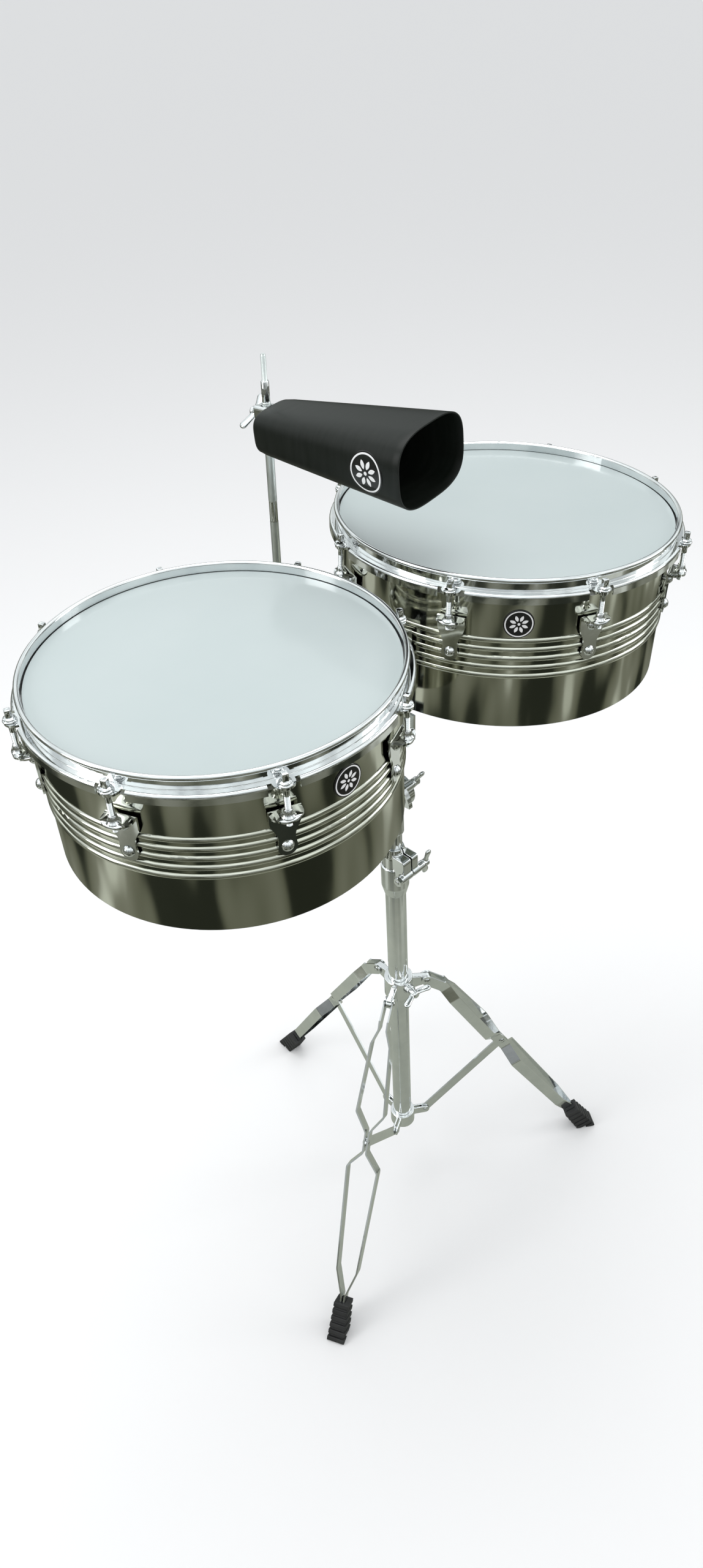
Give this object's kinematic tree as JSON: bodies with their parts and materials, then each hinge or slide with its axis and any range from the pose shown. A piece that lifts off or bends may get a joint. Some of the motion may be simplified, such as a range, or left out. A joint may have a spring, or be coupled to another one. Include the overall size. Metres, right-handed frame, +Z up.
{
  "type": "timbales on a stand",
  "caption": "Pair of shallow steel-shell timbales with tension lugs on a tilting tripod stand, with a cowbell on a post between them.",
  "frame": {"origin": "on the floor, under the middle of the set's bounding box", "axes": "+Z up, +X from the 13 inch drum to the 14 inch drum, and the player stands on the -Y side"},
  "size_m": [0.7736, 0.4798, 1.1454],
  "materials": {
    "chrome": "polished chrome plate",
    "steel_shell": "polished chromed steel",
    "aluminium": "satin",
    "drumhead": "coated white polyester film",
    "badge": "black enamel disc with a white ring",
    "black_enamel": "black powder coat",
    "rubber": "matt black rubber",
    "nylon": "black nylon"
  },
  "bodies": {
    "base": {"lower_tube": "chrome", "tube_bushing": "nylon", "height_clamp": "chrome", "height_clamp_nut": "chrome", "lower_collar": "chrome", "collar_pins": "chrome"},
    "hub": {"leg_hub": "chrome"},
    "mast": {"upper_tube": "chrome"},
    "tilter": {"tilter_body": "chrome", "tilt_pin": "chrome", "tilt_nut": "chrome"},
    "head": {"tilt_plate": "chrome", "cross_bracket": "chrome", "post_clamp": "chrome"},
    "post": {"cowbell_post": "chrome"},
    "bell_liner": {"bell_clamp_liner": "nylon"},
    "bell_carrier": {"bell_clamp": "chrome"},
    "bell": {"cowbell": "black_enamel", "cowbell_badge": "badge"},
    "hub_knob": {"hub_wing_bolt": "chrome"},
    "height_knob": {"height_wing_bolt": "chrome"},
    "tilt_knob": {"tilt_wing_bolt": "chrome"},
    "post_knob": {"post_wing_bolt": "chrome"},
    "bell_knob": {"bell_wing_bolt": "chrome"},
    "drum13": {"drum13_shell": "steel_shell", "drum13_head_film": "drumhead", "drum13_head_ring": "aluminium", "drum13_counterhoop": "chrome", "drum13_tension_rods": "chrome", "drum13_rod_washers": "chrome", "drum13_lug_brackets": "chrome", "drum13_lug_bolts": "chrome", "drum13_badge": "badge", "drum13_mounting_box": "chrome", "drum13_box_bolts": "chrome"},
    "drum13_knob": {"drum13_mount_bolt": "chrome"},
    "drum14": {"drum14_shell": "steel_shell", "drum14_head_film": "drumhead", "drum14_head_ring": "aluminium", "drum14_counterhoop": "chrome", "drum14_tension_rods": "chrome", "drum14_rod_washers": "chrome", "drum14_lug_brackets": "chrome", "drum14_lug_bolts": "chrome", "drum14_badge": "badge", "drum14_mounting_box": "chrome", "drum14_box_bolts": "chrome"},
    "drum14_knob": {"drum14_mount_bolt": "chrome"},
    "front_leg": {"front_leg_strips": "chrome", "front_leg_rivets": "chrome", "front_leg_foot": "rubber"},
    "front_brace": {"front_leg_brace": "chrome"},
    "left_leg": {"left_leg_strips": "chrome", "left_leg_rivets": "chrome", "left_leg_foot": "rubber"},
    "left_brace": {"left_leg_brace": "chrome"},
    "right_leg": {"right_leg_strips": "chrome", "right_leg_rivets": "chrome", "right_leg_foot": "rubber"},
    "right_brace": {"right_leg_brace": "chrome"}
  },
  "joints": [
    {"name": "hub_slide", "type": "slide", "parent": "base", "child": "hub", "axis": [0, 0, 1], "range_m": [0, 0.075]},
    {"name": "front_leg_fold", "type": "hinge", "parent": "hub", "child": "front_leg", "pos_m": [-0.03197, -0.07336, 0.386], "axis": [0.4179, -0.9085, 0], "range_deg": [-0.1, 34.57]},
    {"name": "front_brace_fold", "type": "hinge", "parent": "base", "child": "front_brace", "pos_m": [-0.02833, -0.07169, 0.1075], "axis": [0.4179, -0.9085, 0], "range_deg": [-39.47, 0.1]},
    {"name": "left_leg_fold", "type": "hinge", "parent": "hub", "child": "left_leg", "pos_m": [0.00507, -0.02106, 0.386], "axis": [-0.9957, 0.0924, 0], "range_deg": [-0.1, 34.57]},
    {"name": "left_brace_fold", "type": "hinge", "parent": "base", "child": "left_brace", "pos_m": [0.0047, -0.02504, 0.1075], "axis": [-0.9957, 0.0924, 0], "range_deg": [-39.47, 0.1]},
    {"name": "right_leg_fold", "type": "hinge", "parent": "hub", "child": "right_leg", "pos_m": [0.03185, -0.07928, 0.386], "axis": [0.5779, 0.8161, 0], "range_deg": [-0.1, 34.57]},
    {"name": "right_brace_fold", "type": "hinge", "parent": "base", "child": "right_brace", "pos_m": [0.02858, -0.07697, 0.1075], "axis": [0.5779, 0.8161, 0], "range_deg": [-39.47, 0.1]},
    {"name": "mast_height", "type": "slide", "parent": "base", "child": "mast", "axis": [0, 0, 1], "range_m": [-0.02, 0.16]},
    {"name": "mast_swivel", "type": "hinge", "parent": "mast", "child": "tilter", "pos_m": [0.00165, -0.0579, 0.7], "axis": [0, 0, 1], "continuous": true},
    {"name": "head_tilt", "type": "hinge", "parent": "tilter", "child": "head", "pos_m": [0.00165, -0.0579, 0.7], "axis": [1, 0, 0], "range_deg": [-20, 20]},
    {"name": "drum13_lift", "type": "slide", "parent": "head", "child": "drum13", "axis": [-0.0105, -0.0209, 0.9997], "range_m": [0, 0.02]},
    {"name": "drum13_knob_turn", "type": "hinge", "parent": "drum13", "child": "drum13_knob", "pos_m": [-0.03054, -0.04776, 0.84602], "axis": [0.9999, -0.0002, 0.0105], "continuous": true},
    {"name": "drum14_lift", "type": "slide", "parent": "head", "child": "drum14", "axis": [0.0419, -0.0209, 0.9989], "range_m": [0, 0.02]},
    {"name": "drum14_knob_turn", "type": "hinge", "parent": "drum14", "child": "drum14_knob", "pos_m": [0.00248, -0.04825, 0.86953], "axis": [-0.9991, -0.0009, 0.0419], "continuous": true},
    {"name": "post_slide", "type": "slide", "parent": "head", "child": "post", "axis": [0, 0.9998, 0.0209], "range_m": [-0.04, 0.02]},
    {"name": "bell_height", "type": "slide", "parent": "post", "child": "bell_liner", "axis": [0.0175, -0.0209, 0.9996], "range_m": [-0.01, 0.03]},
    {"name": "bell_swing", "type": "hinge", "parent": "bell_liner", "child": "bell_carrier", "pos_m": [0.02443, 0.12506, 1.08587], "axis": [0.0175, -0.0209, 0.9996], "continuous": true},
    {"name": "bell_roll", "type": "hinge", "parent": "bell_carrier", "child": "bell", "pos_m": [0.02443, 0.12506, 1.08587], "axis": [0.1258, -0.992, 0.0119], "range_deg": [-90, 90]},
    {"name": "bell_knob_turn", "type": "hinge", "parent": "bell_carrier", "child": "bell_knob", "pos_m": [0.02318, 0.13498, 1.08575], "axis": [-0.1258, 0.992, -0.0119], "continuous": true},
    {"name": "hub_knob_turn", "type": "hinge", "parent": "hub", "child": "hub_knob", "pos_m": [-0.00047, -0.0808, 0.39], "axis": [-0.0924, -0.9957, 0], "continuous": true},
    {"name": "height_knob_turn", "type": "hinge", "parent": "base", "child": "height_knob", "pos_m": [0.02415, -0.0819, 0.593], "axis": [1, 0, 0], "continuous": true},
    {"name": "tilt_knob_turn", "type": "hinge", "parent": "tilter", "child": "tilt_knob", "pos_m": [0.01265, -0.07676, 0.7179], "axis": [1, 0, 0], "continuous": true},
    {"name": "post_knob_turn", "type": "hinge", "parent": "head", "child": "post_knob", "pos_m": [0.02985, -0.00321, 0.76316], "axis": [1, 0, 0], "continuous": true}
  ],
  "couplings": [
    {"joint": "front_leg_fold", "follows": "hub_slide", "rad_per_m": 8.0209},
    {"joint": "front_brace_fold", "follows": "hub_slide", "rad_per_m": -9.1619},
    {"joint": "left_leg_fold", "follows": "hub_slide", "rad_per_m": 8.0209},
    {"joint": "left_brace_fold", "follows": "hub_slide", "rad_per_m": -9.1619},
    {"joint": "right_leg_fold", "follows": "hub_slide", "rad_per_m": 8.0209},
    {"joint": "right_brace_fold", "follows": "hub_slide", "rad_per_m": -9.1619}
  ]
}
